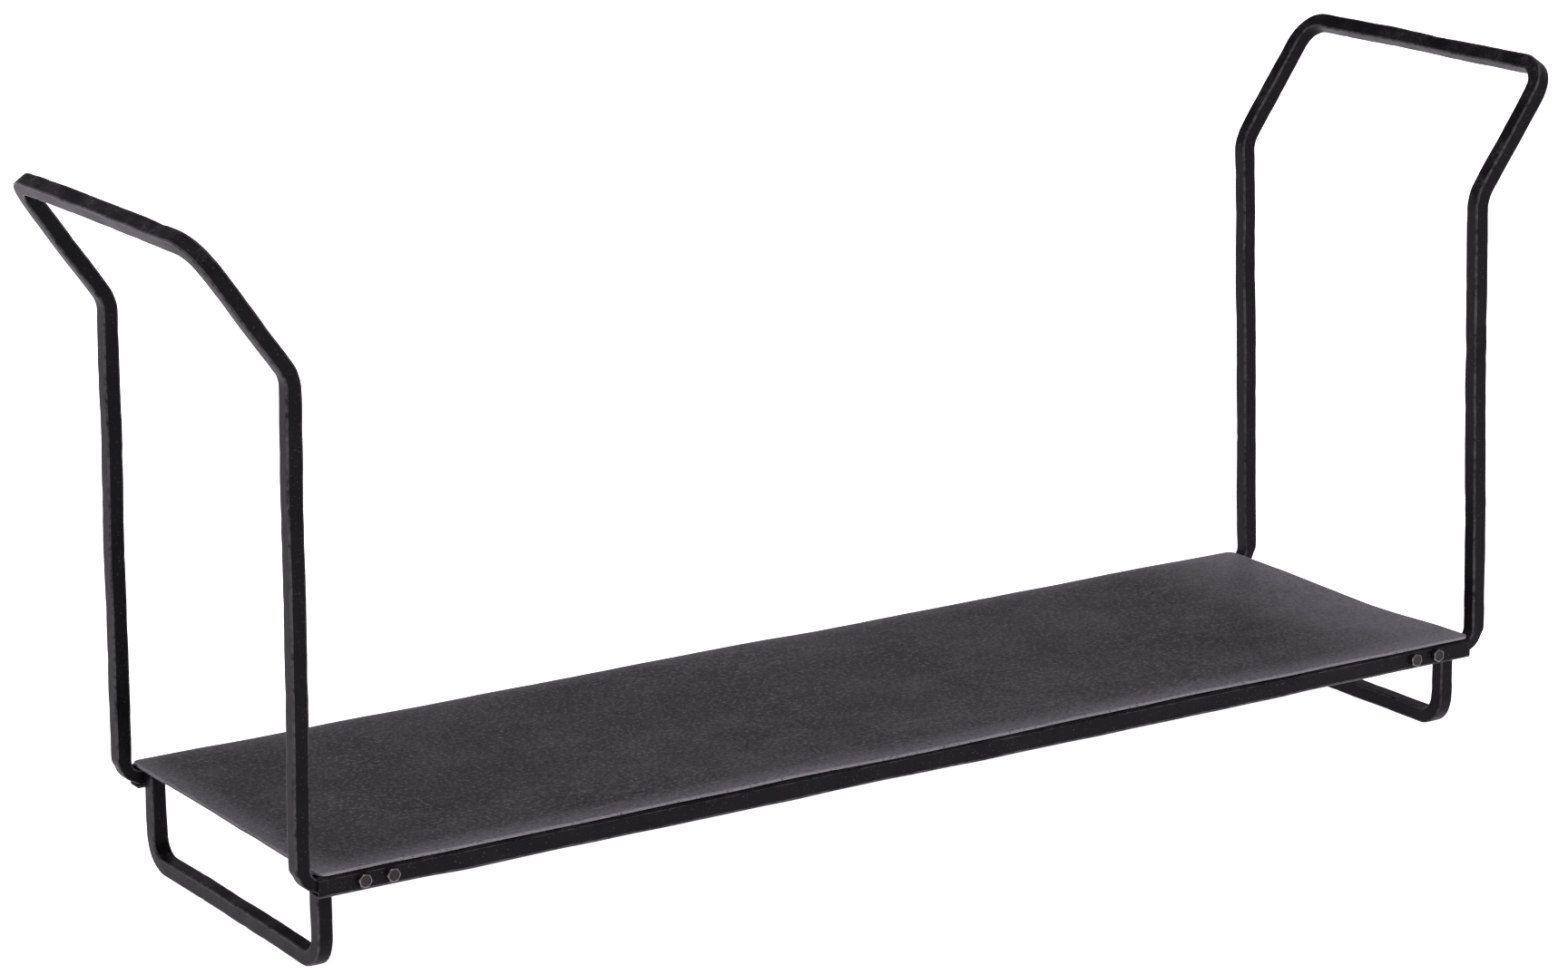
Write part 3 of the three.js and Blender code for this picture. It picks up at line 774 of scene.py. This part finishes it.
def sheet_finish(name, box):
    """The shelf's flat black: charcoal with a fine grain and soft clouds, a painted sheen that makes it
    paler towards its edges and ends, a painted highlight along its rim, and a few short scratches."""
    paint = Finish(name, Specular_IOR_Level=0.06)
    low, high = box
    spot = paint.position()
    x, y = paint.part(spot, 0), paint.part(spot, 1)
    clouds = paint.noise(spot, 90 * MM, 4, 0.6)
    drift = paint.noise(paint.stretched(spot, (0.5, 1, 1), 0.2), 260 * MM, 2, 0.5)
    blotches = paint.noise(spot, 16 * MM, 3, 0.55)
    grain = paint.noise(spot, 3.4 * MM, 5, 0.75)
    wander = 18 * MM * (clouds - 0.5)
    to_front = y - low.y + wander
    to_back = high.y - y + wander
    to_left = x - low.x + wander
    to_right = high.x - x + 2.5 * wander
    tone = clouds * 0.55 + drift * 0.25 + blotches * 0.2
    base = paint.mixed(paint.between(tone, 0.38, 0.64), grey(0.009), grey(0.029))
    # Paler towards each edge and end, each by a reach of its own: a painted sheen.
    for distance, reach, share in (
        (to_front, 36 * MM, 0.55),
        (to_back, 26 * MM, 0.3),
        (to_left, 34 * MM, 0.5),
        (to_right, 150 * MM, 0.62),
    ):
        lighter_share = 1 - paint.between(distance, -0.25 * reach, reach)
        base = paint.mixed(lighter_share * (0.55 + 0.9 * (clouds - 0.2)) * share, base, grey(0.16))
    # A painted highlight: a paler line just inside the sheet's rim, all round.
    rim = paint.maths("MINIMUM", high.y - abs(y), high.x - abs(x)) + 3 * MM * (blotches - 0.5)
    base = paint.mixed(0.45 * (1 - paint.between(rim, 0.5 * MM, 3 * MM)), base, grey(0.2))
    base = paint.mixed(paint.between(grain, 0.47, 0.7) * 0.55, base, grey(0.12))
    base = paint.mixed(paint.between(grain, 0.5, 0.3) * 0.85, base, grey(0.003))
    scratches = 0
    for turn, shift, level in ((0.3, 0.1, 0.77), (-0.5, 0.7, 0.79), (1.2, 1.3, 0.80)):
        streaks = paint.stretched(spot, (14, 700, 1), turn, (shift, shift, 0))
        lines = paint.between(paint.noise(streaks, 1.0, 0, 0), level, level + 0.04)
        patches = paint.noise(paint.stretched(spot, (1, 1, 1), 0, (shift, 0, 0)), 60 * MM, 1)
        scratches = scratches + lines * paint.between(patches, 0.52, 0.66)
    base = paint.mixed(scratches * 0.35, base, grey(0.2))
    roughness = 0.5 + 0.2 * (clouds - 0.5) + 0.3 * (grain - 0.5)
    height = 0.03 * MM * blotches + 0.03 * MM * grain - 0.02 * MM * scratches
    return paint.finish(base, roughness, height)


def blackened_steel(name):
    """Bolts, washers and nuts: oil-blackened steel, browned in patches, with worn rims."""
    steel = Finish(name, Specular_IOR_Level=0.3)
    spot = steel.position()
    patches = steel.noise(spot, 2.5 * MM, 3, 0.6)
    grain = steel.noise(spot, 0.4 * MM, 2, 0.6)
    lighter_share = steel.between(steel.mark("edge") * (0.7 + 0.5 * patches), 0.45, 0.9)
    base = steel.mixed(steel.between(patches, 0.35, 0.65), grey(0.005, 0.1), grey(0.014, 0.14))
    base = steel.mixed(lighter_share * 0.8, base, grey(0.16, 0.04))
    roughness = 0.45 + 0.3 * (patches - 0.5) + 0.2 * (grain - 0.5) - 0.08 * lighter_share
    metallic = 0.5 + 0.35 * lighter_share
    height = 0.05 * MM * patches + 0.01 * MM * grain
    return steel.finish(base, roughness, height, metallic)


bar_paint = black_paint("bar_black_paint", ("lay", "Vector"), grey(0.0012), grey(0.0030), 0.5)
rail_paint = black_paint("rail_black_paint", None, grey(0.0018), grey(0.0040), 0.3)
shelf_paint = sheet_finish("sheet_black_paint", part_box("shelf_plate"))
bolt_steel = blackened_steel("fastener_blackened_steel")

# ---- The rack -------------------------------------------------------------------------------
shelf = sheet_shelf("sheet_shelf", "shelf_plate")
place_piece(shelf, "shelf_plate", shelf_paint)
for side_name, side, seed in (("front", -1, 200), ("back", 1, 300)):
    node = f"{side_name}_rail"
    rail = folded_rail(f"folded_{node}", node, side, seed)
    place_piece(rail, node, rail_paint)
for end_name, end, seed in (("left", -1, 400), ("right", 1, 500)):
    line, width = handle_line(end)
    handle = forged_bar(f"forged_{end_name}_handle", line, width, seed, HANDLE_TRUE_END)
    place_piece(handle, f"{end_name}_handle", bar_paint)
    line, width = foot_line(end)
    foot = forged_bar(f"forged_{end_name}_foot", line, width, seed + 50, FOOT_TRUE_END)
    place_piece(foot, f"{end_name}_foot", bar_paint)

MAKERS = {"bolt": hex_bolt, "washer": plain_washer, "nut": hex_nut}
fastened = sorted(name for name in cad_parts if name.split("_")[0] in MAKERS)
for number, node in enumerate(fastened):
    kind = node.split("_")[0]
    piece = MAKERS[kind](f"{MAKERS[kind].__name__}_{node.split('_', 1)[1]}", node, 0.9 * number)
    place_piece(piece, node, bolt_steel)

# ---- Stage ----------------------------------------------------------------------------------
FLOOR_REACH = 60
STUDIO_WHITE = (1.03, 0.965, 1.06, 1)  # the lamps' faint violet cast
floor_mesh = bpy.data.meshes.new("floor")
corners = [(-1, -1), (1, -1), (1, 1), (-1, 1)]
floor_mesh.from_pydata([(FLOOR_REACH * x, FLOOR_REACH * y, 0) for x, y in corners], [], [(0, 1, 2, 3)])
floor = bpy.data.objects.new("floor", floor_mesh)
bpy.context.scene.collection.objects.link(floor)
# The floor gives off light of its own, which drowns the rack's shadow.
floor_paint = Finish(
    "floor_white",
    Base_Color=grey(0.85),
    Roughness=0.9,
    Specular_IOR_Level=0.1,
    Emission_Color=STUDIO_WHITE,
    Emission_Strength=1.05,
)
floor_mesh.materials.append(floor_paint.material)

world = bpy.data.worlds.new("studio")
world.use_nodes = True
surroundings = Nodes(world.node_tree)
direction = surroundings.node("ShaderNodeTexCoord", {}, {}, "Generated")
height = surroundings.between(surroundings.part(direction, 2), 0.0, 0.4)
zenith = tuple(0.3 * part for part in STUDIO_WHITE)
sky = surroundings.mixed(height, STUDIO_WHITE, zenith)
world.node_tree.links.new(sky.socket, world.node_tree.nodes["Background"].inputs["Color"])
bpy.context.scene.world = world


def soft_light(name, towards, spread, strength):
    """A broad light from far away, as even on the floor as a lit studio ceiling."""
    light = bpy.data.lights.new(name, "SUN")
    light.angle = math.radians(spread)
    light.energy = strength
    light.color = STUDIO_WHITE[:3]
    lamp = bpy.data.objects.new(name, light)
    lamp.rotation_euler = Vector(towards).to_track_quat("-Z", "Y").to_euler()
    bpy.context.scene.collection.objects.link(lamp)


soft_light("light_above", (0.15, 0.35, -1), 80, 3.2)

# ---- Camera ---------------------------------------------------------------------------------
CAMERA_PLACE = (-2.01875, -3.16076, 1.24377)
CAMERA_HEADING = math.radians(30.71)  # from +Y towards +X
CAMERA_DIP = math.radians(15.30)
CAMERA_ROLL = math.radians(-1.13)

camera_data = bpy.data.cameras.new("camera")
camera_data.sensor_fit = "HORIZONTAL"
camera_data.sensor_width = 36
camera_data.lens = 108.62
camera_data.shift_x = 0.0707
camera_data.shift_y = 0.0363
camera_data.clip_end = 200
camera = bpy.data.objects.new("camera", camera_data)
turn = (
    Matrix.Rotation(-CAMERA_HEADING, 3, "Z")
    @ Matrix.Rotation(math.pi / 2 - CAMERA_DIP, 3, "X")
    @ Matrix.Rotation(CAMERA_ROLL, 3, "Z")
)
camera.matrix_world = Matrix.Translation(CAMERA_PLACE) @ turn.to_4x4()
bpy.context.scene.collection.objects.link(camera)
bpy.context.scene.camera = camera
bpy.context.scene.view_settings.view_transform = "Standard"
